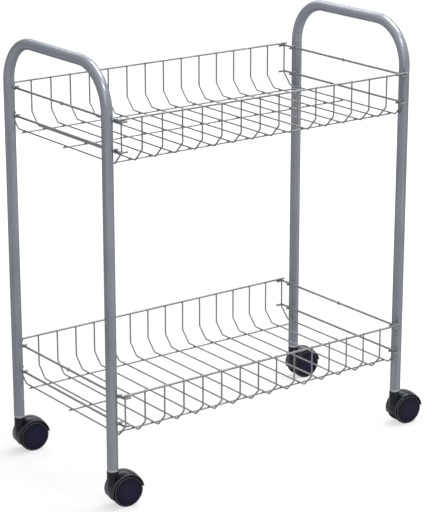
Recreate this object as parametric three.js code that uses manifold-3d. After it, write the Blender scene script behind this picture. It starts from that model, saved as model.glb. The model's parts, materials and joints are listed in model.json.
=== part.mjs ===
// Two-tier wire basket trolley: two bent tube frames, two welded wire baskets
// and four hooded twin-wheel casters.
// Millimetres, +Z up. The origin is on the floor, midway between the four legs.
// X runs along the baskets and Y from the front to the back.
// The casters trail towards +X and a little to the front.

import * as THREE from "three";
import { mergeVertices } from "three/addons/utils/BufferGeometryUtils.js";
import Module from "manifold-3d";

const wasm = await Module();
wasm.setup();

// Clearances
const SEAT_GAP = 0.3; // between separate pieces that touch
const WHEEL_SIDE_GAP = 0.4; // between a wheel and the web beside it
const WELD_SINK = 0.4; // how far two welded wires sink into each other

// Frames
const LEG_SPAN_X = 529; // between the leg axes of the two frames
const LEG_SPAN_Y = 254; // between the two legs of one frame
const FRAME_HEIGHT = 642.5; // floor to the top of the bent tube
const TUBE_DIAMETER = 16;
const TUBE_WALL = 1.2;
const BEND_RADIUS = 64; // on the tube's centre line
const TUBE_SIDES = 16;
const BEND_STEPS = 6;

// Tabs on the legs: a cradle under each end wire and a keeper above it
const TAB_WIDTH = 4;
const TAB_THICKNESS = 2.2;
const TAB_LIP = 1.2; // how far a tab reaches past the wire
const CRADLE_OFFSET = 3; // from the leg axis towards the back
const KEEPER_OFFSET = 7.3; // from the leg axis towards the front

// Baskets
const LOWER_RIM_HEIGHT = 170.5; // floor to the rims' axes
const UPPER_RIM_DROP = 78; // top of the frames down to the rims' axes
const RIM_SPAN_Y = 290; // between the axes of the front and back rims
const RIM_DIAMETER = 3;
const RIM_OVERHANG = 2; // how far a rim runs past the end wires
const RIB_COUNT = 16;
const RIB_DIAMETER = 2.4;
const RIB_WALL = 46.5; // rim axis down to the start of the slope
const RIB_SLOPE_DROP = 18;
const RIB_SLOPE_RUN = 17;
const RUNNER_DIAMETER = 2.4;
const RUNNER_INSET = 14.7; // from the floor's edge to the outer runners
const RUNNER_OVERHANG = 2.5; // how far a runner runs past the outer ribs
const END_WIRE_DIAMETER = 3.4;
const END_WIRE_RETURN = 11; // length turned in along X, bend included
const MIDDLE_WIRE_DROP = 45; // rim axis down to the middle end wire
const WIRE_SIDES = 8;
const WIRE_BEND_STEPS = 4;

// Casters
const CASTER_TRAIL = 19; // swivel axis to axle
const CASTER_TURN = 6; // degrees, from +X towards the front
const CASTER_WIDTH = 27; // over the outer faces of both wheels
const WHEEL_DIAMETER = 47;
const WHEEL_WIDTH = 7.5;
const WHEEL_EDGE = 1; // chamfer on the inner edge of the tread
const WHEEL_FACE_EDGE = 1.6; // chamfer on the outer edge of the tread
const WHEEL_SIDES = 24;
const AXLE_DIAMETER = 5;
const AXLE_ENGAGEMENT = 4.5; // axle length inside each wheel
const HOOD_CLEARANCE = 1; // between the tread and the hood
const HOOD_CROWN = 2.6; // wall above the wheels
const HOOD_WALL = 1.6; // wall behind the wheels
const HOOD_LIP = 3.5; // axle up to the hood's trailing edge
const HOOD_SKIRT = 6; // axle down to the hood's leading edge
const HOOD_TUCK = 1; // how far the leading edge is drawn in
const HOOD_STEPS = 12; // along each half of the dome
const HUB_DIAMETER = 15; // hood's lobe around the axle
const BOSS_DIAMETER = 16;
const BOSS_RISE = 30.4; // axle up to the top of the boss
const STEM_DIAMETER = 8;
const STEM_FOOT = 6; // axle up to the lower end of the stem
const STEM_INSERTION = 26; // stem length inside the leg
const STEM_CHAMFER = 1;
const SOCKET_LENGTH = 29; // inside the leg
const SOCKET_FLANGE = 1.5; // thickness below the leg's end
const FLANGE_INSET = 0.3; // how far the flange stays inside the tube's outline
const PIN_SIDES = 12;

// Sizes that follow from the driving dimensions
const tubeRadius = TUBE_DIAMETER / 2;
const tubeBore = tubeRadius - TUBE_WALL;
const rimRadius = RIM_DIAMETER / 2;
const ribRadius = RIB_DIAMETER / 2;
const runnerRadius = RUNNER_DIAMETER / 2;
const endRadius = END_WIRE_DIAMETER / 2;
const rimY = RIM_SPAN_Y / 2;
const ribY = rimY - rimRadius - ribRadius + WELD_SINK;
const endWireY = ribY + ribRadius + SEAT_GAP + endRadius;
const endWireBend = ribRadius + SEAT_GAP + endRadius; // around the outer rib's wall
const endWireX = LEG_SPAN_X / 2 - tubeRadius - SEAT_GAP - endRadius;
const outerRibX = endWireX - endRadius - SEAT_GAP - ribRadius;
const rimHeights = { lower: LOWER_RIM_HEIGHT, upper: FRAME_HEIGHT - UPPER_RIM_DROP };
const ribFloorDrop = RIB_WALL + RIB_SLOPE_DROP;
const ribFloorY = ribY - RIB_SLOPE_RUN;
const runnerY = ribFloorY - RUNNER_INSET;
const topWireDrop = rimRadius + SEAT_GAP + endRadius;
const endWireDrops = { top: topWireDrop, middle: MIDDLE_WIRE_DROP };
const wheelRadius = WHEEL_DIAMETER / 2;
const axleHeight = wheelRadius;
const axleRadius = AXLE_DIAMETER / 2;
const stemRadius = STEM_DIAMETER / 2;
const webWidth = CASTER_WIDTH - 2 * (WHEEL_WIDTH + WHEEL_SIDE_GAP);
const wheelInner = webWidth / 2 + WHEEL_SIDE_GAP;
const axleHalf = wheelInner + AXLE_ENGAGEMENT;
const bossRadius = BOSS_DIAMETER / 2;
const bossTop = axleHeight + BOSS_RISE;
const legEnd = bossTop + SEAT_GAP + SOCKET_FLANGE + SEAT_GAP; // floor to the legs' open ends
const cavityRadius = wheelRadius + HOOD_CLEARANCE;
const hoodTrail = cavityRadius + HOOD_WALL;
const hoodRise = cavityRadius + HOOD_CROWN;
const hoodLead = CASTER_TRAIL + bossRadius; // flush with the boss

// Materials
const silverPaint = { color: 0x868a90, roughness: 0.42, metalness: 0.35 };
const blackPlastic = { color: 0x1c1d20, roughness: 0.5, metalness: 0 };
const greyPlastic = { color: 0xa5a7ab, roughness: 0.55, metalness: 0 };
const plainSteel = { color: 0xa5a7aa, roughness: 0.3, metalness: 1 };

// A curve that passes through given stations, one for each step of an extrusion.
// Its tangents at a corner split the angle, which mitres the swept section.
class StationCurve extends THREE.Curve {
  constructor(stations) {
    super();
    this.stations = stations;
  }
  get steps() {
    return this.stations.length - 1;
  }
  getPoint(t, target = new THREE.Vector3()) {
    const place = Math.min(Math.max(t, 0), 1) * this.steps;
    const index = Math.min(Math.floor(place), this.steps - 1);
    return target.lerpVectors(this.stations[index], this.stations[index + 1], place - index);
  }
  getPointAt(u, target) {
    return this.getPoint(u, target);
  }
  getTangentAt(u, target = new THREE.Vector3()) {
    const index = Math.round(u * this.steps);
    const at = this.stations[index];
    const before = this.stations[Math.max(index - 1, 0)];
    const after = this.stations[Math.min(index + 1, this.steps)];
    const arriving = at.clone().sub(before).normalize();
    const leaving = after.clone().sub(at).normalize();
    return target.addVectors(arriving, leaving).normalize();
  }
}

// A regular polygon whose flats lie at the given radius, with flats facing the axes.
function polygon(radius, sides, path = new THREE.Shape()) {
  const corner = radius / Math.cos(Math.PI / sides);
  for (let i = 0; i < sides; i++) {
    const angle = ((2 * i + 1) * Math.PI) / sides;
    const x = corner * Math.cos(angle);
    const y = corner * Math.sin(angle);
    if (i === 0) path.moveTo(x, y);
    else path.lineTo(x, y);
  }
  path.closePath();
  return path;
}

function sweep(section, stations) {
  const path = new StationCurve(stations);
  return new THREE.ExtrudeGeometry(section, { steps: path.steps, extrudePath: path });
}

// Stations along a path of straight runs, with each inner corner turned as an arc.
function roundedStations(corners, radius, steps) {
  const stations = [corners[0]];
  for (let i = 1; i < corners.length - 1; i++) {
    const corner = corners[i];
    const back = corners[i - 1].clone().sub(corner).normalize();
    const ahead = corners[i + 1].clone().sub(corner).normalize();
    const halfAngle = back.angleTo(ahead) / 2;
    const centre = back.clone().add(ahead).normalize();
    centre.multiplyScalar(radius / Math.sin(halfAngle)).add(corner);
    const setback = radius / Math.tan(halfAngle);
    const start = corner.clone().addScaledVector(back, setback).sub(centre);
    const axis = new THREE.Vector3().crossVectors(ahead, back).normalize();
    for (let k = 0; k <= steps; k++) {
      const turn = ((Math.PI - 2 * halfAngle) * k) / steps;
      stations.push(start.clone().applyAxisAngle(axis, turn).add(centre));
    }
  }
  stations.push(corners.at(-1));
  return stations;
}

// A solid of revolution about Z with flats facing X and Y, from (radius, height) pairs.
function turnedOnZ(profile, sides) {
  return turnedOnY(profile, sides).rotateX(Math.PI / 2);
}

// The same about Y. Radii are to the flats.
function turnedOnY(profile, sides) {
  const toCorner = 1 / Math.cos(Math.PI / sides);
  const points = profile.map(([radius, height]) => new THREE.Vector2(radius * toCorner, height));
  return new THREE.LatheGeometry(points, sides, Math.PI / sides);
}

function rod(radius, low, high) {
  return [
    [0, low],
    [radius, low],
    [radius, high],
    [0, high],
  ];
}

function box(low, high) {
  const size = high.clone().sub(low);
  const middle = low.clone().add(high).multiplyScalar(0.5);
  return new THREE.BoxGeometry(size.x, size.y, size.z).translate(middle.x, middle.y, middle.z);
}

function toSolid(geometry) {
  const bare = geometry.clone();
  bare.deleteAttribute("normal");
  bare.deleteAttribute("uv");
  const merged = mergeVertices(bare, 1e-3);
  return new wasm.Manifold(
    new wasm.Mesh({
      numProp: 3,
      vertProperties: merged.getAttribute("position").array,
      triVerts: new Uint32Array(merged.index.array),
    }),
  );
}

function toGeometry(solid) {
  const mesh = solid.getMesh();
  const geometry = new THREE.BufferGeometry();
  geometry.setAttribute("position", new THREE.BufferAttribute(mesh.vertProperties, 3));
  geometry.setIndex(new THREE.BufferAttribute(mesh.triVerts, 1));
  geometry.computeVertexNormals();
  return geometry;
}

function join(geometries) {
  const solids = geometries.map(toSolid);
  return solids.reduce((whole, piece) => whole.add(piece));
}

function named(name, geometry, finish) {
  const mesh = new THREE.Mesh(geometry, new THREE.MeshStandardMaterial(finish));
  mesh.name = name;
  return mesh;
}

// The bent tube of the frame at x = 0, open at both lower ends.
function frameTube() {
  const top = FRAME_HEIGHT - tubeRadius;
  const corners = [
    new THREE.Vector3(0, -LEG_SPAN_Y / 2, legEnd),
    new THREE.Vector3(0, -LEG_SPAN_Y / 2, top),
    new THREE.Vector3(0, LEG_SPAN_Y / 2, top),
    new THREE.Vector3(0, LEG_SPAN_Y / 2, legEnd),
  ];
  const section = polygon(tubeRadius, TUBE_SIDES);
  section.holes.push(polygon(tubeBore, TUBE_SIDES, new THREE.Path()));
  return sweep(section, roundedStations(corners, BEND_RADIUS, BEND_STEPS));
}

// One tab on a leg, rooted in the middle of the tube's wall.
// The side is +1 where the inside of the trolley lies towards +X.
function tab(side, legY, offset, lowZ) {
  const nearEdge = Math.max(Math.abs(offset) - TAB_WIDTH / 2, 0);
  const root = Math.sqrt((tubeRadius - TUBE_WALL / 2) ** 2 - nearEdge ** 2);
  const tip = tubeRadius + SEAT_GAP + END_WIRE_DIAMETER + TAB_LIP;
  const edges = [side * root, side * tip];
  return box(
    new THREE.Vector3(Math.min(...edges), legY + offset - TAB_WIDTH / 2, lowZ),
    new THREE.Vector3(Math.max(...edges), legY + offset + TAB_WIDTH / 2, lowZ + TAB_THICKNESS),
  );
}

function frame(side) {
  const pieces = [frameTube()];
  for (const legY of [-LEG_SPAN_Y / 2, LEG_SPAN_Y / 2]) {
    for (const rimZ of Object.values(rimHeights)) {
      for (const drop of Object.values(endWireDrops)) {
        const wireZ = rimZ - drop;
        const reach = endRadius + SEAT_GAP;
        pieces.push(tab(side, legY, CRADLE_OFFSET, wireZ - reach - TAB_THICKNESS));
        pieces.push(tab(side, legY, -KEEPER_OFFSET, wireZ + reach));
      }
    }
  }
  const geometry = toGeometry(join(pieces));
  return geometry.translate((-side * LEG_SPAN_X) / 2, 0, 0);
}

// A wire along straight runs with mitred corners.
function wire(radius, corners) {
  return sweep(polygon(radius, WIRE_SIDES), corners);
}

// A rib: down the front wall, in along the slope, across the floor and up the back.
function rib(x) {
  const corners = [
    [-ribY, rimRadius],
    [-ribY, -RIB_WALL],
    [-ribFloorY, -ribFloorDrop],
    [ribFloorY, -ribFloorDrop],
    [ribY, -RIB_WALL],
    [ribY, rimRadius],
  ];
  return wire(
    ribRadius,
    corners.map(([y, z]) => new THREE.Vector3(x, y, z)),
  );
}

function wireAlongX(radius, half, y, z) {
  return wire(radius, [new THREE.Vector3(-half, y, z), new THREE.Vector3(half, y, z)]);
}

// All ribs of a basket, welded to the front and back rims.
function ribGrid() {
  const pitch = (2 * outerRibX) / (RIB_COUNT - 1);
  const rimHalf = endWireX + endRadius + RIM_OVERHANG;
  const wires = [-rimY, rimY].map((y) => wireAlongX(rimRadius, rimHalf, y, 0));
  for (let i = 0; i < RIB_COUNT; i++) wires.push(rib(-outerRibX + i * pitch));
  return toGeometry(join(wires));
}

function runner(y) {
  const half = outerRibX + ribRadius + RUNNER_OVERHANG;
  const drop = ribFloorDrop + ribRadius + SEAT_GAP + runnerRadius;
  return wireAlongX(runnerRadius, half, y, -drop);
}

// An end wire: across the end of the basket, with both ends turned in along the sides.
function endWire(side, drop) {
  const x = side * endWireX;
  const inner = side * (endWireX - END_WIRE_RETURN);
  const corners = [
    [inner, -endWireY],
    [x, -endWireY],
    [x, endWireY],
    [inner, endWireY],
  ].map(([cornerX, cornerY]) => new THREE.Vector3(cornerX, cornerY, -drop));
  const stations = roundedStations(corners, endWireBend, WIRE_BEND_STEPS);
  return sweep(polygon(endRadius, WIRE_SIDES), stations);
}

function basket(tier) {
  const group = new THREE.Group();
  group.position.z = rimHeights[tier];
  const part = (label, geometry) => group.add(named(`${tier}_basket_${label}`, geometry, silverPaint));
  part("rib_grid", ribGrid());
  part("front_runner", runner(-runnerY));
  part("middle_runner", runner(0));
  part("back_runner", runner(runnerY));
  for (const [level, drop] of Object.entries(endWireDrops)) {
    part(`left_${level}_wire`, endWire(-1, drop));
    part(`right_${level}_wire`, endWire(1, drop));
  }
  return group;
}

// A plastic sleeve in the leg's open end, with a flange below it.
function socket() {
  const bore = stemRadius + SEAT_GAP;
  const outer = tubeBore - SEAT_GAP;
  const flange = tubeRadius - FLANGE_INSET;
  const low = legEnd - SEAT_GAP - SOCKET_FLANGE;
  const shoulder = legEnd - SEAT_GAP;
  const high = legEnd + SOCKET_LENGTH;
  return turnedOnZ(
    [
      [bore, low],
      [flange, low],
      [flange, shoulder],
      [outer, shoulder],
      [outer, high],
      [bore, high],
      [bore, low],
    ],
    TUBE_SIDES,
  );
}

function stem() {
  const low = axleHeight + STEM_FOOT;
  const high = legEnd + STEM_INSERTION;
  return turnedOnZ(
    [
      [0, low],
      [stemRadius, low],
      [stemRadius, high - STEM_CHAMFER],
      [stemRadius - STEM_CHAMFER, high],
      [0, high],
    ],
    PIN_SIDES,
  );
}

// The hood's outer form: a dome over the wheels, higher at its trailing edge than at its skirt.
function hoodDome() {
  const lipAngle = Math.asin(HOOD_LIP / hoodRise);
  const shape = new THREE.Shape();
  shape.absellipse(0, 0, hoodTrail, hoodRise, lipAngle, Math.PI / 2, false);
  shape.absellipse(0, 0, hoodLead, hoodRise, Math.PI / 2, Math.PI, false);
  shape.lineTo(HOOD_TUCK - hoodLead, -HOOD_SKIRT);
  shape.closePath();
  const dome = new THREE.ExtrudeGeometry(shape, {
    depth: CASTER_WIDTH,
    bevelEnabled: false,
    curveSegments: HOOD_STEPS,
  });
  dome.rotateX(Math.PI / 2);
  return dome.translate(CASTER_TRAIL, CASTER_WIDTH / 2, axleHeight);
}

function atAxle(geometry) {
  return geometry.translate(CASTER_TRAIL, 0, axleHeight);
}

// The hood: dome, web, hub and boss in one moulding, hollowed for wheels, axle and stem.
function hood() {
  const hub = turnedOnY(rod(HUB_DIAMETER / 2, -webWidth / 2, webWidth / 2), WHEEL_SIDES);
  const boss = turnedOnZ(rod(bossRadius, axleHeight, bossTop), TUBE_SIDES);
  let solid = join([hoodDome(), atAxle(hub), boss]);
  for (const edges of [
    [webWidth / 2, CASTER_WIDTH],
    [-CASTER_WIDTH, -webWidth / 2],
  ]) {
    const cavity = turnedOnY(rod(cavityRadius, ...edges), WHEEL_SIDES);
    solid = solid.subtract(toSolid(atAxle(cavity)));
  }
  const axleBore = turnedOnY(rod(axleRadius + SEAT_GAP, -CASTER_WIDTH, CASTER_WIDTH), PIN_SIDES);
  const boreFoot = axleHeight + STEM_FOOT - SEAT_GAP;
  const stemBore = turnedOnZ(rod(stemRadius + SEAT_GAP, boreFoot, legEnd), PIN_SIDES);
  return toGeometry(solid.subtract(toSolid(atAxle(axleBore))).subtract(toSolid(stemBore)));
}

function axle() {
  return atAxle(turnedOnY(rod(axleRadius, -axleHalf, axleHalf), PIN_SIDES));
}

// A wheel with its plain outer face towards +Y and a blind bore on the inner side.
function wheel() {
  const bore = axleRadius + SEAT_GAP;
  return turnedOnY(
    [
      [0, AXLE_ENGAGEMENT + SEAT_GAP],
      [bore, AXLE_ENGAGEMENT + SEAT_GAP],
      [bore, 0],
      [wheelRadius - WHEEL_EDGE, 0],
      [wheelRadius, WHEEL_EDGE],
      [wheelRadius, WHEEL_WIDTH - WHEEL_FACE_EDGE],
      [wheelRadius - WHEEL_FACE_EDGE, WHEEL_WIDTH],
      [0, WHEEL_WIDTH],
    ],
    WHEEL_SIDES,
  );
}

function wheelMesh(name, facing) {
  const mesh = named(name, wheel(), blackPlastic);
  mesh.position.set(CASTER_TRAIL, facing * wheelInner, axleHeight);
  mesh.rotation.z = facing > 0 ? 0 : Math.PI;
  return mesh;
}

function caster(corner, x, y) {
  const group = new THREE.Group();
  group.position.set(x, y, 0);
  const label = `${corner}_caster`;
  const swivel = new THREE.Group();
  swivel.rotation.z = THREE.MathUtils.degToRad(-CASTER_TURN);
  swivel.add(
    named(`${label}_stem`, stem(), plainSteel),
    named(`${label}_hood`, hood(), blackPlastic),
    named(`${label}_axle`, axle(), plainSteel),
    wheelMesh(`${label}_front_wheel`, -1),
    wheelMesh(`${label}_back_wheel`, 1),
  );
  group.add(named(`${label}_socket`, socket(), greyPlastic), swivel);
  return group;
}

const trolley = new THREE.Group();
trolley.add(named("left_frame", frame(1), silverPaint));
trolley.add(named("right_frame", frame(-1), silverPaint));
for (const tier of Object.keys(rimHeights)) trolley.add(basket(tier));
for (const [depth, y] of [
  ["front", -LEG_SPAN_Y / 2],
  ["back", LEG_SPAN_Y / 2],
]) {
  trolley.add(caster(`${depth}_left`, -LEG_SPAN_X / 2, y));
  trolley.add(caster(`${depth}_right`, LEG_SPAN_X / 2, y));
}

export default trolley;
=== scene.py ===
import json
import math
import random

import bmesh
import bpy
from mathutils import Matrix, Vector

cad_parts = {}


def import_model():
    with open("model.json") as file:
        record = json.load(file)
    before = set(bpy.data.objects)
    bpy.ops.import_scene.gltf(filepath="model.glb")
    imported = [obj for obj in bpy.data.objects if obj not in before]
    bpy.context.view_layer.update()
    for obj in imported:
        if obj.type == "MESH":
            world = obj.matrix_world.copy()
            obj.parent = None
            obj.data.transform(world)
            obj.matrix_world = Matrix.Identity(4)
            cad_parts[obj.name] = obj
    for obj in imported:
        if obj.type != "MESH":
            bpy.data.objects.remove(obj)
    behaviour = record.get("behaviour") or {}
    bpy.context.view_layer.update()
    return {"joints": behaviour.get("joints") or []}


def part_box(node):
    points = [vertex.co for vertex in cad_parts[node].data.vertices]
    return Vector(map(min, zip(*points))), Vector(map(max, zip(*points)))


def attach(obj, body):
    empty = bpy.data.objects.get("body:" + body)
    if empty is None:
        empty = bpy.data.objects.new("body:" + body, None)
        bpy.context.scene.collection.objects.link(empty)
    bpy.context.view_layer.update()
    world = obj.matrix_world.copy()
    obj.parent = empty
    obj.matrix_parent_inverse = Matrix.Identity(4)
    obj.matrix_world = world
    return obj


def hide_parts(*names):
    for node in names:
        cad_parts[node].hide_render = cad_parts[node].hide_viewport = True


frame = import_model()

# Camera at the photograph's viewing angle
CAMERA_PLACE = (-1.6587, -2.2633, 1.1608)
CAMERA_YAW = math.radians(36.39)  # from +Y towards +X
CAMERA_PITCH = math.radians(17.20)  # downwards
CAMERA_LENS = 137.4  # millimetres, on the usual 36 mm sensor
CAMERA_REACH = 60  # how far it sees

# End frames
TUBE_RADIUS = 0.008
TUBE_BORE = 0.0068
TUBE_BEND = 0.064  # on the centre line
TUBE_SIDES = 48
TUBE_BEND_STEPS = 28
TUBE_LIP = 0.0005  # rounding of the open ends
BARE_LIP = 0.0022  # height of the worn paint at the open ends
REFLECTION_FADE = 0.03  # height below the bend over which the painted reflection streaks along a leg fade out

# Tabs that carry and keep the end wires
TAB_WIDTH = 0.004
TAB_THICKNESS = 0.0022
TAB_ROOT = 0.0064  # from the leg's axis, inside the tube's wall
TAB_TIP = 0.0129
TAB_ROUND = 0.0009
TAB_ROUND_STEPS = 3
CRADLE_OFFSET = 0.003  # from the leg's axis towards the back
KEEPER_OFFSET = -0.0073

# Baskets
RIM_RADIUS = 0.0015
RIB_RADIUS = 0.0012
RUNNER_RADIUS = 0.0012
END_RADIUS = 0.0017
RIB_COUNT = 16
RIB_WALL = 0.0465  # rim axis down to the start of the slope
RIB_SLOPE_RUN = 0.017
RIB_BEND = 0.005
WELD_SINK = 0.0004
SEAT_GAP = 0.0003
WIRE_SIDES = 14
WIRE_BEND_STEPS = 7
WIRE_CHAMFER = 0.0003  # on a wire's cut ends

# Weld beads, as half sizes along X, Y and Z
TAB_BEAD = (0.0012, 0.0025, 0.0016)
RIM_BEAD = (0.0017, 0.0009, 0.0013)
RUNNER_BEAD = (0.0014, 0.0014, 0.0006)
BUTT_BEAD = (0.0028, 0.0022, 0.0030)
END_BEAD = (0.0022, 0.0010, 0.0010)
BEAD_WOBBLE = 0.15  # how much they differ in size
BEAD_DIVISIONS = 2

# Hoods
CASTER_WIDTH = 0.027
WEB_WIDTH = 0.0112
CAVITY_RADIUS = 0.0245
HOOD_TRAIL = 0.02605  # axle to the trailing wall's outside
HOOD_LEAD = 0.027
HOOD_RISE = 0.0283
HOOD_LIP = 0.0035  # trailing edge above the axle
HOOD_SKIRT = 0.006  # leading edge below the axle
HOOD_TUCK = 0.001  # how far the skirt turns in
HOOD_STEPS = 40
HOOD_SHOULDER = 0.0010  # rounding along the dome's sides
SHOULDER_STEPS = 5
HOOD_BARREL = (0.0004, 0.0026, 0.0012)  # drop at the sides: trailing, at the crown and leading
HOOD_STATIONS = 16  # across the dome
HOOD_RIM_HIGHLIGHT = 0.0008  # width of the painted highlight along the rim
HUB_RADIUS = 0.0075
BOSS_RADIUS = 0.008
STEM_BORE_RISE = 0.0057  # axle to the bottom of the stem's bore
SLIVER = 0.00002  # smaller edges and doubled points are closed up

# Wheels
WHEEL_RADIUS = 0.0235
WHEEL_WIDTH = 0.0075
WHEEL_INNER = 0.006  # from the caster's middle plane to a wheel's inner face
WHEEL_EDGE_INNER = 0.0010  # roundings of the tread's edges
WHEEL_EDGE_OUTER = 0.0008
WHEEL_BORE_DEPTH = 0.0048
WHEEL_HUB = 0.0065  # radius on the inner face
WHEEL_HUB_FOOT = 0.0075
HOLLOW_DEPTH = 0.0012
HOLLOW_ROUND = 0.0004
RING_WIDTH = 0.0034  # of the inner face outside the hollow
RING_FOOT = 0.0040
FINE_ROUND = 0.0003
CAP_RADIUS = 0.0217  # raised middle of a wheel's outer face
CAP_STEP = 0.0014  # its height over the tread ring
CAP_DRAFT = 0.0003
CAP_ROUND = 0.0008
CAP_DISH = 0.0003  # drop at its middle
FACE_SHADE_START = 0.35  # share of the radius where painted shade starts to darken a face outwards
DUST_START = 0.98  # share of the radius where the tread's dust starts
LEDGE_SHADE_FADE = 0.01  # share of the radius over which painted shade darkens the ledge around the cap
EDGE_BAND = 0.02  # share of the radius that shines along the cap's edge
EDGE_FADE = 0.03  # share of the radius over which the shine builds up

# Pins and sockets
STEM_RADIUS = 0.004
STEM_EDGE = 0.0004
STEM_TIP = 0.001  # chamfer at the top
GROOVE_DROP = 0.006  # tip to the groove for the grip ring
GROOVE_WIDTH = 0.0022
GROOVE_DEPTH = 0.0006
GROOVE_SLOPE = 0.0004
AXLE_RADIUS = 0.0025
AXLE_EDGE = 0.0004
AXLE_REACH = 0.0045  # into each wheel
PIN_GAP = 0.0003
FLANGE_HEIGHT = 0.0015
FLANGE_ROUND = 0.0005
LEAD_IN = 0.0005  # taper at the sleeve's top
LEAD_IN_HEIGHT = 0.0015

# Facets of turned shapes and smooth shading
HOOD_SEGMENTS = 72
WHEEL_SEGMENTS = 96
STEM_SEGMENTS = 48
AXLE_SEGMENTS = 40
SOCKET_SEGMENTS = 56
ROUND_STEPS = 4
SMOOTH_ANGLE = math.radians(35)

# Studio
FLOOR_SIZE = 14
FLOOR_CELLS = 8
FLOOR_DROP = 0.0002
FLOOR_COLOUR = (0.40, 0.40, 0.40, 1)
FLOOR_NEAR = 0.6  # within this radius the lamps light the floor
FLOOR_FAR = 2.0
FLOOR_GLOW_NEAR = 0.66
FLOOR_GLOW_FAR = 0.97
WORLD_FILL = 0.08
LAMPS = {
    "overhead": {"place": (0.85, 0.0, 2.4), "target": (0, 0, 0.4), "size": (1.6, 1.4), "watts": 50},
    "behind": {"place": (0.8, 1.8, 2.0), "target": (0, 0, 0.4), "size": (1.6, 0.8), "watts": 16},
    "key": {"place": (-1.5, -2.0, 1.5), "target": (0, 0, 0.4), "size": (1.0, 1.0), "watts": 8},
    "front_high": {"place": (-0.2, -1.5, 2.1), "target": (0, 0, 0.5), "size": (0.8, 0.4), "watts": 14},
}

X_AXIS = Vector((1, 0, 0))
Z_AXIS = Vector((0, 0, 1))
IN_PLACE = Matrix.Identity(4)

random.seed(7)


# Shape tools


def rounded_path(corners, radii, steps):
    """Points along straight runs, with each inner corner turned as an arc of its own radius."""
    points = [corners[0]]
    for before, corner, after, radius in zip(corners, corners[1:], corners[2:], radii):
        back = (before - corner).normalized()
        ahead = (after - corner).normalized()
        half = back.angle(ahead) / 2
        centre = corner + (back + ahead).normalized() * (radius / math.sin(half))
        start = corner + back * (radius / math.tan(half)) - centre
        axis = ahead.cross(back).normalized()
        for step in range(steps + 1):
            turn = Matrix.Rotation((math.pi - 2 * half) * step / steps, 3, axis)
            points.append(centre + turn @ start)
    points.append(corners[-1])
    return points


def ring(bm, place, tangent, normal, radius, sides):
    """Points of a circle around a path, starting on the side of the normal."""
    side = tangent.cross(normal)
    verts = []
    for i in range(sides):
        angle = 2 * math.pi * i / sides
        verts.append(bm.verts.new(place + radius * (math.cos(angle) * normal + math.sin(angle) * side)))
    return verts


def bridge(bm, first, second):
    """Faces between two rings with as many points."""
    count = len(first)
    for i in range(count):
        j = (i + 1) % count
        bm.faces.new((first[i], first[j], second[j], second[i]))


def tangents(points):
    """Directions of a path at its points."""
    found = []
    for i, point in enumerate(points):
        arriving = point - points[i - 1] if i else points[1] - point
        leaving = points[i + 1] - point if i + 1 < len(points) else arriving
        found.append((arriving.normalized() + leaving.normalized()).normalized())
    return found


def skin(bm, points, normal, radius, sides, chamfer):
    """Rings of a round surface along a flat path, drawn in or flared by the chamfer at both ends."""
    ways = tangents(points)
    places = [points[0], points[0] + ways[0] * abs(chamfer), *points[1:-1]]
    places += [points[-1] - ways[-1] * abs(chamfer), points[-1]]
    turns = [ways[0], *ways, ways[-1]]
    last = len(places) - 1
    rings = []
    for i, (place, way) in enumerate(zip(places, turns)):
        size = radius - chamfer if i in (0, last) else radius
        rings.append(ring(bm, place, way, normal, size, sides))
    for first, second in zip(rings, rings[1:]):
        bridge(bm, first, second)
    return rings[0], rings[-1]


def wire(bm, points, normal, radius):
    """A solid wire along a flat path, with cut ends."""
    first, last = skin(bm, points, normal, radius, WIRE_SIDES, WIRE_CHAMFER)
    bm.faces.new(first)
    bm.faces.new(last)


def pipe(bm, points, normal):
    """A hollow tube along a flat path, with rounded rims at its open ends."""
    outer = skin(bm, points, normal, TUBE_RADIUS, TUBE_SIDES, TUBE_LIP)
    inner = skin(bm, points, normal, TUBE_BORE, TUBE_SIDES, -TUBE_LIP / 2)
    for outside, inside in zip(outer, inner):
        bridge(bm, outside, inside)


def bead(bm, place, size):
    """A weld bead: a small flattened lump, no two quite alike."""
    grown = [axis * (1 + random.uniform(-BEAD_WOBBLE, BEAD_WOBBLE)) for axis in size]
    matrix = Matrix.Translation(place) @ Matrix.Diagonal((*grown, 1))
    bmesh.ops.create_icosphere(bm, subdivisions=BEAD_DIVISIONS, radius=1, matrix=matrix)


def lug(bm, low, high):
    """A small plate between two corners, with rounded edges."""
    size = high - low
    matrix = Matrix.Translation((low + high) / 2) @ Matrix.Diagonal((*size, 1))
    made = bmesh.ops.create_cube(bm, size=1, matrix=matrix)
    edges = {edge for vert in made["verts"] for edge in vert.link_edges}
    rounding = {"offset": TAB_ROUND, "segments": TAB_ROUND_STEPS, "profile": 0.5, "affect": "EDGES"}
    bmesh.ops.bevel(bm, geom=list(edges), **rounding)


def lathe(bm, profile, segments):
    """A solid of revolution about Z from (radius, height) pairs that start and end on the axis or meet."""
    rings = []
    for radius, height in profile:
        if radius == 0:
            rings.append([bm.verts.new((0, 0, height))])
            continue
        rings.append(ring(bm, Vector((0, 0, height)), Z_AXIS, X_AXIS, radius, segments))
    if profile[0] == profile[-1]:
        bmesh.ops.delete(bm, geom=rings.pop(), context="VERTS")
        rings.append(rings[0])
    for first, second in zip(rings, rings[1:]):
        if len(first) == len(second):
            bridge(bm, first, second)
            continue
        tip, around = (first[0], second) if len(first) == 1 else (second[0], first)
        for i in range(segments):
            bm.faces.new((tip, around[i], around[(i + 1) % segments]))


def soft_profile(corners):
    """A turned outline from (radius, height, rounding) corners."""
    points = [Vector((radius, 0, height)) for radius, height, _ in corners]
    path = [points[0]]
    for i, (_, _, rounding) in enumerate(corners[1:-1], 1):
        if rounding:
            path += rounded_path(points[i - 1 : i + 2], [rounding], ROUND_STEPS)[1:-1]
        else:
            path.append(points[i])
    path.append(points[-1])
    return [(point.x, point.z) for point in path]


def to_mesh(bm, name):
    bmesh.ops.recalc_face_normals(bm, faces=bm.faces)
    mesh = bpy.data.meshes.new(name)
    bm.to_mesh(mesh)
    bm.free()
    return mesh


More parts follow.
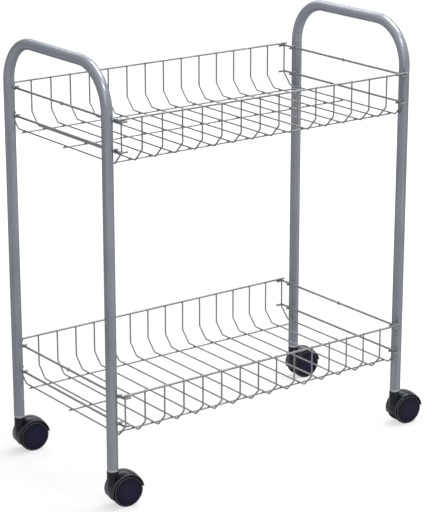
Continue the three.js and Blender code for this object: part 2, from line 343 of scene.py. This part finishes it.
def turned(name, profile, segments):
    """A lathed mesh of its own."""
    bm = bmesh.new()
    lathe(bm, profile, segments)
    return to_mesh(bm, name)


def cylinder(name, radius, low, high, segments=HOOD_SEGMENTS):
    return turned(name, [(0, low), (radius, low), (radius, high), (0, high)], segments)


def shade(mesh):
    """Smooth shading with sharp creases."""
    for face in mesh.polygons:
        face.use_smooth = True
    mesh.set_sharp_from_angle(angle=SMOOTH_ANGLE)


def add_object(name, mesh, matrix=IN_PLACE):
    made = bpy.data.objects.new(name, mesh)
    bpy.context.scene.collection.objects.link(made)
    made.matrix_world = matrix
    return made


def piece(name, mesh, body, finish, nodes=(), matrix=IN_PLACE):
    """A finished piece of the trolley on its body, in place of its CAD nodes."""
    shade(mesh)
    mesh.materials.clear()
    mesh.materials.append(finishes[finish])
    made = add_object(name, mesh, matrix)
    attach(made, body)
    if nodes:
        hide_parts(*nodes)


def cleaned(mesh):
    """The mesh without the slivers and doubled points that joins and cuts leave behind."""
    bm = bmesh.new()
    bm.from_mesh(mesh)
    bmesh.ops.remove_doubles(bm, verts=bm.verts, dist=SLIVER)
    bmesh.ops.dissolve_degenerate(bm, dist=SLIVER, edges=bm.edges)
    bmesh.ops.triangulate(bm, faces=bm.faces)
    bmesh.ops.dissolve_degenerate(bm, dist=SLIVER, edges=bm.edges)
    return to_mesh(bm, mesh.name)


def combine(base, tools):
    """The base with each (operation, mesh, matrix) tool joined to it or cut from it."""
    body = add_object("combine_base", base)
    helpers = []
    for operation, mesh, matrix in tools:
        helper = add_object("combine_tool", mesh, matrix)
        helpers.append(helper)
        step = body.modifiers.new("step", "BOOLEAN")
        step.operation = operation
        step.solver = "EXACT"
        step.object = helper
    bpy.context.view_layer.update()
    result = bpy.data.meshes.new_from_object(body.evaluated_get(bpy.context.evaluated_depsgraph_get()))
    for used in (body, *helpers):
        bpy.data.objects.remove(used)
    return cleaned(result)


# Material tools


class Finish:
    """A procedural material on a Principled shader, in each piece's own coordinates."""

    def __init__(self, name):
        self.material = bpy.data.materials.new(name)
        self.material.use_nodes = True
        self.nodes = self.material.node_tree.nodes
        self.links = self.material.node_tree.links
        self.shader = self.nodes["Principled BSDF"]
        self.place = self.nodes.new("ShaderNodeTexCoord").outputs["Object"]

    def coordinate(self, axis):
        apart = self.nodes.new("ShaderNodeSeparateXYZ")
        self.links.new(self.place, apart.inputs["Vector"])
        return apart.outputs[axis]

    def size_of(self, value):
        """A number without its sign."""
        node = self.nodes.new("ShaderNodeMath")
        node.operation = "ABSOLUTE"
        self.links.new(value, node.inputs[0])
        return node.outputs["Value"]

    def off_axis(self):
        """Distance from the piece's own Z axis."""
        flat = self.nodes.new("ShaderNodeVectorMath")
        flat.operation = "MULTIPLY"
        flat.inputs[1].default_value = (1, 1, 0)
        self.links.new(self.place, flat.inputs[0])
        length = self.nodes.new("ShaderNodeVectorMath")
        length.operation = "LENGTH"
        self.links.new(flat.outputs["Vector"], length.inputs[0])
        return length.outputs["Value"]

    def noise(self, scale, detail=3.0, roughness=0.5, stretch=None):
        texture = self.nodes.new("ShaderNodeTexNoise")
        texture.inputs["Scale"].default_value = scale
        texture.inputs["Detail"].default_value = detail
        texture.inputs["Roughness"].default_value = roughness
        source = self.place
        if stretch:
            mapping = self.nodes.new("ShaderNodeMapping")
            mapping.inputs["Scale"].default_value = stretch
            self.links.new(source, mapping.inputs["Vector"])
            source = mapping.outputs["Vector"]
        self.links.new(source, texture.inputs["Vector"])
        return texture.outputs["Fac"]

    def ramp(self, value, stops):
        """Colours along a value, from (position, colour) stops."""
        node = self.nodes.new("ShaderNodeValToRGB")
        elements = node.color_ramp.elements
        while len(elements) < len(stops):
            elements.new(0.5)
        for element, (position, colour) in zip(elements, stops):
            element.position = position
            element.color = (*colour, 1)
        self.links.new(value, node.inputs["Fac"])
        return node.outputs["Color"]

    def spread(self, value, low, high, start=0.3, end=0.7):
        """A number that goes from low to high as the value goes from start to end."""
        node = self.nodes.new("ShaderNodeMapRange")
        node.inputs["From Min"].default_value = start
        node.inputs["From Max"].default_value = end
        node.inputs["To Min"].default_value = low
        node.inputs["To Max"].default_value = high
        self.links.new(value, node.inputs["Value"])
        return node.outputs["Result"]

    def mix(self, factor, first, second, blend="MIX"):
        node = self.nodes.new("ShaderNodeMix")
        node.data_type = "RGBA"
        node.blend_type = blend
        for socket, value in (("Factor_Float", factor), ("A_Color", first), ("B_Color", second)):
            target = next(i for i in node.inputs if i.identifier == socket)
            if isinstance(value, bpy.types.NodeSocket):
                self.links.new(value, target)
            else:
                target.default_value = value
        return next(o for o in node.outputs if o.identifier == "Result_Color")

    def multiply(self, first, second):
        return self.mix(1.0, first, second, "MULTIPLY")

    def bump(self, height, strength, depth):
        node = self.nodes.new("ShaderNodeBump")
        node.inputs["Strength"].default_value = strength
        node.inputs["Distance"].default_value = depth
        self.links.new(height, node.inputs["Height"])
        self.link(node.outputs["Normal"], "Normal")

    def link(self, value, socket):
        self.links.new(value, self.shader.inputs[socket])

    def set(self, socket, value):
        self.shader.inputs[socket].default_value = value


# Materials


def silver_paint(name, dull, bright, metallic, shine, reflection_streak_depth):
    """Satin silver paint between two tones: flake, mottling, orange peel, painted reflection streaks along
    the legs, and bare ends.
    """
    finish = Finish(name)
    low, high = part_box("left_frame")
    bend = high.z - TUBE_RADIUS - TUBE_BEND
    height = finish.coordinate("Z")
    tone = finish.ramp(finish.noise(16, detail=4), [(0.35, dull), (0.65, bright)])
    flake = finish.noise(2400, detail=2)
    speckle = finish.ramp(flake, [(0.36, (0.93, 0.93, 0.94)), (0.64, (1, 1, 1))])
    # painted reflection: dark streaks along the straight legs, standing in for reflected edges of the studio
    streak_noise = finish.noise(230, detail=2, stretch=(1, 1, 0.012))
    reflection_streaks = finish.ramp(streak_noise, [(0.38, (1 - reflection_streak_depth,) * 3), (0.62, (1, 1, 1))])
    straight = finish.spread(height, 1.0, 0.0, bend - REFLECTION_FADE, bend)
    leg_reflections = finish.mix(straight, (1, 1, 1, 1), reflection_streaks)
    painted = finish.multiply(finish.multiply(tone, speckle), leg_reflections)
    worn = finish.spread(height, 1.0, 0.0, low.z + BARE_LIP / 2, low.z + BARE_LIP)
    finish.link(finish.mix(worn, painted, (0.74, 0.75, 0.76, 1)), "Base Color")
    rubbed = finish.noise(60, detail=5, stretch=(1, 1, 0.25))
    finish.link(finish.spread(rubbed, 0.26, 0.34), "Roughness")
    finish.bump(finish.noise(160, detail=1), 0.010, 0.0004)
    finish.set("Metallic", metallic)
    finish.set("Specular IOR Level", shine)
    finish.set("Specular Tint", (0.12, 0.13, 0.15, 1))
    return finish.material


def tube_paint():
    dull, bright = (0.327, 0.347, 0.386), (0.371, 0.391, 0.430)
    return silver_paint("silver_paint", dull, bright, metallic=0.42, shine=0.12, reflection_streak_depth=0.20)


def wire_paint():
    dull, bright = (0.300, 0.306, 0.320), (0.350, 0.356, 0.370)
    return silver_paint("wire_paint", dull, bright, metallic=0.25, shine=0.45, reflection_streak_depth=0.0)


def hood_plastic():
    """Satin black moulding with a fine spark-eroded grain, and a painted highlight along its rims."""
    finish = Finish("hood_plastic")
    grain = finish.noise(1700, detail=3)
    cloud = finish.noise(70, detail=3)
    edge = CASTER_WIDTH / 2
    across = finish.size_of(finish.coordinate("Y"))
    # painted highlight: a lighter band along the hood's rims, standing in for the light caught by their
    # rounded edges
    rim_highlight = finish.spread(across, 0.0, 1.0, edge - HOOD_RIM_HIGHLIGHT, edge - HOOD_RIM_HIGHLIGHT / 2)
    black = finish.ramp(cloud, [(0.3, (0.007, 0.009, 0.017)), (0.7, (0.013, 0.016, 0.029))])
    finish.link(finish.mix(rim_highlight, black, (0.105, 0.11, 0.125, 1)), "Base Color")
    finish.link(finish.spread(grain, 0.20, 0.30), "Roughness")
    finish.bump(grain, 0.12, 0.0002)
    finish.set("Specular IOR Level", 0.19)
    return finish.material


def wheel_plastic():
    """Blue-black moulding with a pebbled cap that shines along its edge, painted shade towards the face's
    edge and on the ledge around the cap, and a dusty tread.
    """
    finish = Finish("wheel_plastic")
    grain = finish.noise(1300, detail=4)
    cloud = finish.noise(520, detail=4, roughness=0.7)
    cap = CAP_RADIUS / WHEEL_RADIUS
    out = finish.spread(finish.off_axis(), 0.0, 1.0, 0.0, WHEEL_RADIUS)
    middle = finish.ramp(cloud, [(0.3, (0.015, 0.015, 0.041)), (0.7, (0.034, 0.033, 0.084))])
    # painted shade: the face darkens towards its edge, standing in for the falloff of light over a domed
    # face
    face = finish.mix(finish.spread(out, 0.0, 1.0, FACE_SHADE_START, 1.0), middle, (0.010, 0.010, 0.017, 1))
    # painted shade: the ledge and groove around the cap are darkened, as a shadowed gap would be
    ledge = finish.spread(out, 0.0, 1.0, cap, cap + LEDGE_SHADE_FADE)
    shaded = finish.mix(ledge, face, (0.004, 0.004, 0.006, 1))
    dust = finish.spread(out, 0.0, 0.35, DUST_START, 1.0)
    finish.link(finish.mix(dust, shaded, (0.035, 0.034, 0.033, 1)), "Base Color")
    finish.link(finish.spread(grain, 0.22, 0.36), "Roughness")
    finish.bump(grain, 0.20, 0.0002)
    edge = cap - EDGE_BAND
    levels = [(edge - EDGE_FADE, 0.09), (edge, 0.80), (cap, 0.80), (cap + EDGE_BAND, 0.04)]
    shine = finish.ramp(out, [(position, (level,) * 3) for position, level in levels])
    finish.link(shine, "Specular IOR Level")
    return finish.material


def socket_plastic():
    """Matte light grey moulding."""
    finish = Finish("socket_plastic")
    grain = finish.noise(1500)
    cloud = finish.noise(90)
    grey = finish.ramp(cloud, [(0.3, (0.33, 0.34, 0.355)), (0.7, (0.39, 0.40, 0.415))])
    finish.link(grey, "Base Color")
    finish.link(finish.spread(grain, 0.45, 0.60), "Roughness")
    finish.bump(grain, 0.15, 0.0002)
    return finish.material


def pin_steel():
    """Bright zinc-plated steel with turning marks."""
    finish = Finish("pin_steel")
    marks = finish.noise(900, detail=2, stretch=(0.1, 0.1, 1))
    cloud = finish.noise(120)
    zinc = finish.ramp(cloud, [(0.3, (0.50, 0.51, 0.52)), (0.7, (0.60, 0.61, 0.61))])
    finish.link(zinc, "Base Color")
    finish.link(finish.spread(marks, 0.22, 0.36), "Roughness")
    finish.bump(marks, 0.12, 0.0001)
    finish.set("Metallic", 1.0)
    return finish.material


finishes = {
    "silver_paint": tube_paint(),
    "wire_paint": wire_paint(),
    "hood_plastic": hood_plastic(),
    "wheel_plastic": wheel_plastic(),
    "socket_plastic": socket_plastic(),
    "pin_steel": pin_steel(),
}


# End frames


def leg_axes(node):
    """The x of a frame's legs, their y places, the open ends' height and the top bar's axis height."""
    low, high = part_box(node)
    x = low.x + TUBE_RADIUS if low.x + high.x < 0 else high.x - TUBE_RADIUS
    return x, (low.y + TUBE_RADIUS, high.y - TUBE_RADIUS), low.z, high.z - TUBE_RADIUS


def frame_tube(side):
    """One end frame's tube, bent into an upside-down U."""
    node = f"{side}_frame"
    x, (front, back), end, top = leg_axes(node)
    corners = [Vector((x, y, z)) for y, z in ((front, end), (front, top), (back, top), (back, end))]
    bm = bmesh.new()
    pipe(bm, rounded_path(corners, [TUBE_BEND] * 2, TUBE_BEND_STEPS), X_AXIS)
    piece(f"{side}_frame_tube", to_mesh(bm, "frame_tube"), "trolley", "silver_paint", [node])


def tab(bm, x, y, offset, base, inward):
    """A tab at a leg's x and y, to one side of its axis, with a weld bead at its root."""
    ends = sorted((x + inward * TAB_ROOT, x + inward * TAB_TIP))
    root = x + inward * math.sqrt(TUBE_RADIUS**2 - min(offset**2, TUBE_BORE**2))
    middle = y + offset
    low = Vector((ends[0], middle - TAB_WIDTH / 2, base))
    high = Vector((ends[1], middle + TAB_WIDTH / 2, base + TAB_THICKNESS))
    lug(bm, low, high)
    bead(bm, (root, middle, base + TAB_THICKNESS / 2), TAB_BEAD)


def frame_tabs(side):
    """All tabs on one frame's legs, below and above each end wire."""
    x, legs, _, _ = leg_axes(f"{side}_frame")
    inward = 1 if side == "left" else -1
    reach = END_RADIUS + SEAT_GAP
    bm = bmesh.new()
    for tier in ("lower", "upper"):
        for level in ("top", "middle"):
            low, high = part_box(f"{tier}_basket_{side}_{level}_wire")
            wire_z = (low.z + high.z) / 2
            for y in legs:
                tab(bm, x, y, CRADLE_OFFSET, wire_z - reach - TAB_THICKNESS, inward)
            for y in legs:
                tab(bm, x, y, KEEPER_OFFSET, wire_z + reach, inward)
    piece(f"{side}_frame_tabs", to_mesh(bm, "frame_tabs"), "trolley", "silver_paint")


# Baskets


def rib_places(tier):
    """The ribs' x places, and the y and heights of a basket's rim, ribs and floor."""
    wire_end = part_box(f"{tier}_basket_right_top_wire")[1].x
    outer = wire_end - 2 * END_RADIUS - SEAT_GAP - RIB_RADIUS
    pitch = 2 * outer / (RIB_COUNT - 1)
    low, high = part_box(f"{tier}_basket_rib_grid")
    rim_y = high.y - RIM_RADIUS
    return {
        "xs": [-outer + i * pitch for i in range(RIB_COUNT)],
        "rim_y": rim_y,
        "rib_y": rim_y - RIM_RADIUS - RIB_RADIUS + WELD_SINK,
        "rim_z": high.z - RIM_RADIUS,
        "floor_z": low.z + RIB_RADIUS,
        "half": high.x,
    }


def rib_points(x, at):
    """A rib down the front wall, along the slope, across the floor and up the back."""
    rib_y, rim_z, floor_z = at["rib_y"], at["rim_z"], at["floor_z"]
    floor_y = rib_y - RIB_SLOPE_RUN
    wall_z = rim_z - RIB_WALL
    corners = [
        (-rib_y, rim_z + RIM_RADIUS),
        (-rib_y, wall_z),
        (-floor_y, floor_z),
        (floor_y, floor_z),
        (rib_y, wall_z),
        (rib_y, rim_z + RIM_RADIUS),
    ]
    return rounded_path([Vector((x, y, z)) for y, z in corners], [RIB_BEND] * 4, WIRE_BEND_STEPS)


def rib_grid(tier):
    """A basket's ribs and the two rims that they are welded to."""
    node = f"{tier}_basket_rib_grid"
    at = rib_places(tier)
    bm = bmesh.new()
    for x in at["xs"]:
        wire(bm, rib_points(x, at), X_AXIS, RIB_RADIUS)
    for side in (-1, 1):
        y = side * at["rim_y"]
        ends = [Vector((-at["half"], y, at["rim_z"])), Vector((at["half"], y, at["rim_z"]))]
        wire(bm, ends, Z_AXIS, RIM_RADIUS)
        seam = side * (at["rim_y"] - RIM_RADIUS + WELD_SINK / 2)
        for x in at["xs"]:
            bead(bm, (x, seam, at["rim_z"] - RIM_RADIUS / 2), RIM_BEAD)
    piece(f"{tier}_basket_grid", to_mesh(bm, "grid"), "trolley", "wire_paint", [node])


def runner(tier, label):
    """A wire under the ribs, with a bead at each."""
    node = f"{tier}_basket_{label}_runner"
    low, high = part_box(node)
    middle = (low + high) / 2
    bm = bmesh.new()
    wire(bm, [Vector((x, *middle.yz)) for x in (low.x, high.x)], Z_AXIS, RUNNER_RADIUS)
    for x in rib_places(tier)["xs"]:
        bead(bm, (x, middle.y, middle.z + RUNNER_RADIUS), RUNNER_BEAD)
    piece(f"{tier}_basket_{label}_rod", to_mesh(bm, "runner"), "trolley", "wire_paint", [node])


def end_wire(tier, side, level):
    """An end wire with its ends turned in along the sides, and a butt weld in the top one."""
    node = f"{tier}_basket_{side}_{level}_wire"
    low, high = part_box(node)
    z = (low.z + high.z) / 2
    y = high.y - END_RADIUS
    x, inner = (low.x + END_RADIUS, high.x) if side == "left" else (high.x - END_RADIUS, low.x)
    corners = [Vector((inner, -y, z)), Vector((x, -y, z)), Vector((x, y, z)), Vector((inner, y, z))]
    bend = RIB_RADIUS + SEAT_GAP + END_RADIUS
    lift = END_RADIUS if level == "top" else 0
    bm = bmesh.new()
    wire(bm, rounded_path(corners, [bend] * 2, WIRE_BEND_STEPS), Z_AXIS, END_RADIUS)
    if level == "top":
        bead(bm, (x, 0, z), BUTT_BEAD)
    for end in (-1, 1):
        bead(bm, ((x + inner) / 2, end * (y - END_RADIUS + lift / 2), z + lift), END_BEAD)
    piece(f"{tier}_basket_{side}_{level}_rod", to_mesh(bm, "end_wire"), "trolley", "wire_paint", [node])


# Casters


def caster_matrix(corner):
    """A caster's own frame, on the floor under its swivel with +X towards its axle, and the axle's place."""
    joints = {joint["name"]: joint for joint in frame["joints"]}
    swivel = Vector(joints[f"{corner}_swivel"]["pos_m"])
    axle = Vector(joints[f"{corner}_front_spin"]["pos_m"])
    trail = axle - swivel
    angle = math.atan2(trail.y, trail.x)
    matrix = Matrix.Translation((swivel.x, swivel.y, 0)) @ Matrix.Rotation(angle, 4, "Z")
    return matrix, trail.xy.length, axle.z


def axle_matrix(trail, axle_z):
    """From an axle's own frame, along Z, to its caster's."""
    return Matrix.Translation((trail, 0, axle_z)) @ Matrix.Rotation(-math.pi / 2, 4, "X")


def hood_stations():
    """Places across the dome, with how far its barrel shape has dropped and its shoulder has rounded."""
    half = CASTER_WIDTH / 2
    flat = half - HOOD_SHOULDER
    places = [(flat * (2 * i / HOOD_STATIONS - 1), 0) for i in range(HOOD_STATIONS + 1)]
    for i in range(1, SHOULDER_STEPS + 1):
        turn = math.pi / 2 * i / SHOULDER_STEPS
        y = flat + HOOD_SHOULDER * math.sin(turn)
        inset = HOOD_SHOULDER * (1 - math.cos(turn))
        places = [(-y, inset), *places, (y, inset)]
    return [(y, (y / half) ** 2, inset) for y, inset in places]


def hood_outline(drop, inset):
    """The hood from the side, about its axle: trailing edge, crown and leading skirt."""
    reaches = zip((HOOD_TRAIL, HOOD_RISE, HOOD_LEAD), HOOD_BARREL)
    trail, rise, lead = (reach - drop * barrel - inset for reach, barrel in reaches)
    lip = math.asin(HOOD_LIP / rise)
    points = []
    for i in range(HOOD_STEPS + 1):
        angle = lip + (math.pi - lip) * i / HOOD_STEPS
        reach = trail if angle < math.pi / 2 else lead
        points.append((reach * math.cos(angle), rise * math.sin(angle)))
    points.append((HOOD_TUCK - lead, -HOOD_SKIRT))
    return points


def dome_mesh(trail, axle_z):
    """The solid dome, lofted across the caster."""
    bm = bmesh.new()
    sections = []
    for y, drop, inset in hood_stations():
        outline = hood_outline(drop, inset)
        sections.append([bm.verts.new((trail + x, y, axle_z + z)) for x, z in outline])
    for first, second in zip(sections, sections[1:]):
        bridge(bm, first, second)
    bm.faces.new(sections[0])
    bm.faces.new(sections[-1])
    return to_mesh(bm, "dome")


def hood_mesh(trail, axle_z, boss_top):
    """Dome, web, hub and boss in one moulding, hollowed for the wheels, axle and stem."""
    to_axle = axle_matrix(trail, axle_z)
    far = CASTER_WIDTH
    half = WEB_WIDTH / 2
    hub = cylinder("hub", HUB_RADIUS, -half - PIN_GAP, half + PIN_GAP)
    boss = cylinder("boss", BOSS_RADIUS, axle_z, boss_top)
    axle_bore = cylinder("axle_bore", AXLE_RADIUS + PIN_GAP, -far, far)
    stem_bore = cylinder("stem_bore", STEM_RADIUS + PIN_GAP, axle_z + STEM_BORE_RISE, boss_top + far)
    tools = [("UNION", hub, to_axle), ("UNION", boss, IN_PLACE)]
    for low, high in ((half, far), (-far, -half)):
        cavity = cylinder("cavity", CAVITY_RADIUS, low, high, WHEEL_SEGMENTS)
        tools.append(("DIFFERENCE", cavity, to_axle))
    tools.append(("DIFFERENCE", axle_bore, to_axle))
    tools.append(("DIFFERENCE", stem_bore, IN_PLACE))
    return combine(dome_mesh(trail, axle_z), tools)


def wheel_mesh():
    """A wheel about Z with its capped face up, a hub on its inner side and a blind bore."""
    bore = AXLE_RADIUS + PIN_GAP
    ledge = WHEEL_WIDTH - CAP_STEP
    corners = [
        (0, WHEEL_BORE_DEPTH, 0),
        (bore, WHEEL_BORE_DEPTH, 0),
        (bore, 0, 0),
        (WHEEL_HUB, 0, FINE_ROUND),
        (WHEEL_HUB_FOOT, HOLLOW_DEPTH, FINE_ROUND),
        (WHEEL_RADIUS - RING_FOOT, HOLLOW_DEPTH, HOLLOW_ROUND),
        (WHEEL_RADIUS - RING_WIDTH, 0, FINE_ROUND),
        (WHEEL_RADIUS, 0, WHEEL_EDGE_INNER),
        (WHEEL_RADIUS, ledge, WHEEL_EDGE_OUTER),
        (CAP_RADIUS + CAP_DRAFT, ledge, FINE_ROUND),
        (CAP_RADIUS, WHEEL_WIDTH, CAP_ROUND),
        (0, WHEEL_WIDTH - CAP_DISH, 0),
    ]
    return turned("wheel", soft_profile(corners), WHEEL_SEGMENTS)


def stem_mesh(low, high):
    """A steel pin with a chamfered tip and a groove for its grip ring."""
    groove_top = high - GROOVE_DROP
    groove_low = groove_top - GROOVE_WIDTH
    neck = STEM_RADIUS - GROOVE_DEPTH
    profile = [
        (0, low),
        (STEM_RADIUS - STEM_EDGE, low),
        (STEM_RADIUS, low + STEM_EDGE),
        (STEM_RADIUS, groove_low),
        (neck, groove_low + GROOVE_SLOPE),
        (neck, groove_top - GROOVE_SLOPE),
        (STEM_RADIUS, groove_top),
        (STEM_RADIUS, high - STEM_TIP),
        (STEM_RADIUS - STEM_TIP, high),
        (0, high),
    ]
    return turned("stem", profile, STEM_SEGMENTS)


def axle_mesh():
    """A steel pin with chamfered ends, about Z."""
    half = WHEEL_INNER + AXLE_REACH
    profile = [
        (0, -half),
        (AXLE_RADIUS - AXLE_EDGE, -half),
        (AXLE_RADIUS, AXLE_EDGE - half),
        (AXLE_RADIUS, half - AXLE_EDGE),
        (AXLE_RADIUS - AXLE_EDGE, half),
        (0, half),
    ]
    return turned("axle", profile, AXLE_SEGMENTS)


def socket_mesh(low, high):
    """A sleeve with a rounded flange below the leg's end."""
    bore = STEM_RADIUS + PIN_GAP
    flange = TUBE_RADIUS - PIN_GAP
    shoulder = low + FLANGE_HEIGHT
    sleeve = TUBE_BORE - PIN_GAP
    corners = [
        (bore, low, 0),
        (flange, low, FLANGE_ROUND),
        (flange, shoulder, FLANGE_ROUND),
        (sleeve, shoulder, 0),
        (sleeve, high - LEAD_IN_HEIGHT, 0),
        (sleeve - LEAD_IN, high, 0),
        (bore, high, 0),
        (bore, low, 0),
    ]
    return turned("socket", soft_profile(corners), SOCKET_SEGMENTS)


def heights(node):
    """The lowest and highest z of a CAD node."""
    low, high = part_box(node)
    return low.z, high.z


def caster(corner):
    """A caster's hood, pins, sleeve and wheels, in place of its CAD nodes."""
    label = f"{corner}_caster"
    parts = ("hood", "stem", "axle", "socket", "front_wheel", "back_wheel")
    nodes = {part: f"{label}_{part}" for part in parts}
    matrix, trail, axle_z = caster_matrix(corner)
    to_axle = matrix @ axle_matrix(trail, axle_z)
    hood = hood_mesh(trail, axle_z, heights(nodes["hood"])[1])
    stem = stem_mesh(*heights(nodes["stem"]))
    sleeve = socket_mesh(*heights(nodes["socket"]))
    piece(f"{label}_shell", hood, label, "hood_plastic", [nodes["hood"]], matrix)
    piece(f"{label}_pin", stem, label, "pin_steel", [nodes["stem"]], matrix)
    piece(f"{label}_shaft", axle_mesh(), label, "pin_steel", [nodes["axle"]], to_axle)
    piece(f"{label}_sleeve", sleeve, "trolley", "socket_plastic", [nodes["socket"]], matrix)
    for side, turn in (("front", math.pi), ("back", 0)):
        outward = to_axle @ Matrix.Rotation(turn, 4, "X") @ Matrix.Translation((0, 0, WHEEL_INNER))
        body = f"{corner}_{side}_wheel"
        replaced = [nodes[f"{side}_wheel"]]
        piece(f"{corner}_{side}_disc", wheel_mesh(), body, "wheel_plastic", replaced, outward)


# Studio


def camera():
    """The view of the photograph, without shift."""
    data = bpy.data.cameras.new("camera")
    data.lens = CAMERA_LENS
    data.clip_end = CAMERA_REACH
    view = bpy.data.objects.new("camera", data)
    view.location = CAMERA_PLACE
    view.rotation_euler = (math.pi / 2 - CAMERA_PITCH, 0, -CAMERA_YAW)
    bpy.context.scene.collection.objects.link(view)
    bpy.context.scene.camera = view


def seen_directly(tree):
    """1 for rays that show the background or its reflection, and 0 for those that only light things."""
    path = tree.nodes.new("ShaderNodeLightPath")
    total = path.outputs["Is Camera Ray"]
    for ray in ("Is Glossy Ray", "Is Transmission Ray"):
        most = tree.nodes.new("ShaderNodeMath")
        most.operation = "MAXIMUM"
        tree.links.new(total, most.inputs[0])
        tree.links.new(path.outputs[ray], most.inputs[1])
        total = most.outputs["Value"]
    return total


def floor_glow(tree):
    """Strength of the floor's own light: weaker near the trolley, where the lamps add theirs."""
    away = tree.nodes.new("ShaderNodeVectorMath")
    away.operation = "LENGTH"
    tree.links.new(tree.nodes.new("ShaderNodeTexCoord").outputs["Object"], away.inputs[0])
    level = tree.nodes.new("ShaderNodeMapRange")
    level.interpolation_type = "SMOOTHSTEP"
    level.inputs["From Min"].default_value = FLOOR_NEAR
    level.inputs["From Max"].default_value = FLOOR_FAR
    level.inputs["To Min"].default_value = FLOOR_GLOW_NEAR
    level.inputs["To Max"].default_value = FLOOR_GLOW_FAR
    tree.links.new(away.outputs["Value"], level.inputs["Value"])
    shown = tree.nodes.new("ShaderNodeMath")
    shown.operation = "MULTIPLY"
    tree.links.new(seen_directly(tree), shown.inputs[0])
    tree.links.new(level.outputs["Result"], shown.inputs[1])
    return shown.outputs["Value"]


def floor_paint():
    """A diffuse floor that also glows for the rays that show it."""
    material = bpy.data.materials.new("floor")
    material.use_nodes = True
    tree = material.node_tree
    tree.nodes.remove(tree.nodes["Principled BSDF"])
    paint = tree.nodes.new("ShaderNodeBsdfDiffuse")
    paint.inputs["Color"].default_value = FLOOR_COLOUR
    glow = tree.nodes.new("ShaderNodeEmission")
    tree.links.new(floor_glow(tree), glow.inputs["Strength"])
    both = tree.nodes.new("ShaderNodeAddShader")
    tree.links.new(paint.outputs["BSDF"], both.inputs[0])
    tree.links.new(glow.outputs["Emission"], both.inputs[1])
    tree.links.new(both.outputs["Shader"], tree.nodes["Material Output"].inputs["Surface"])
    return material


def floor():
    """A pale floor that shows as white and keeps the trolley's shadow."""
    bm = bmesh.new()
    bmesh.ops.create_grid(bm, x_segments=FLOOR_CELLS, y_segments=FLOOR_CELLS, size=FLOOR_SIZE)
    made = add_object("floor", to_mesh(bm, "floor"), Matrix.Translation((0, 0, -FLOOR_DROP)))
    made.data.materials.append(floor_paint())


def world():
    """White where it shows, and a soft fill for everything else."""
    made = bpy.data.worlds.new("studio")
    made.use_nodes = True
    tree = made.node_tree
    background = tree.nodes["Background"]
    background.inputs["Color"].default_value = (1, 1, 1, 1)
    strength = tree.nodes.new("ShaderNodeMapRange")
    strength.inputs["To Min"].default_value = WORLD_FILL
    strength.inputs["To Max"].default_value = 1
    tree.links.new(seen_directly(tree), strength.inputs["Value"])
    tree.links.new(strength.outputs["Result"], background.inputs["Strength"])
    bpy.context.scene.world = made


def softbox(name, place, target, size, watts):
    """A rectangular area lamp aimed at a point."""
    data = bpy.data.lights.new(name, "AREA")
    data.shape = "RECTANGLE"
    data.size, data.size_y = size
    data.energy = watts
    lamp = bpy.data.objects.new(name, data)
    lamp.location = place
    aim = Vector(target) - Vector(place)
    lamp.rotation_euler = aim.to_track_quat("-Z", "Y").to_euler()
    bpy.context.scene.collection.objects.link(lamp)


camera()
for side in ("left", "right"):
    frame_tube(side)
    frame_tabs(side)
for tier in ("lower", "upper"):
    rib_grid(tier)
    for label in ("front", "middle", "back"):
        runner(tier, label)
    for side in ("left", "right"):
        for level in ("top", "middle"):
            end_wire(tier, side, level)
for corner in ("front_left", "front_right", "back_left", "back_right"):
    caster(corner)
floor()
world()
for name, lamp in LAMPS.items():
    softbox(name, **lamp)
bpy.context.scene.view_settings.view_transform = "Standard"
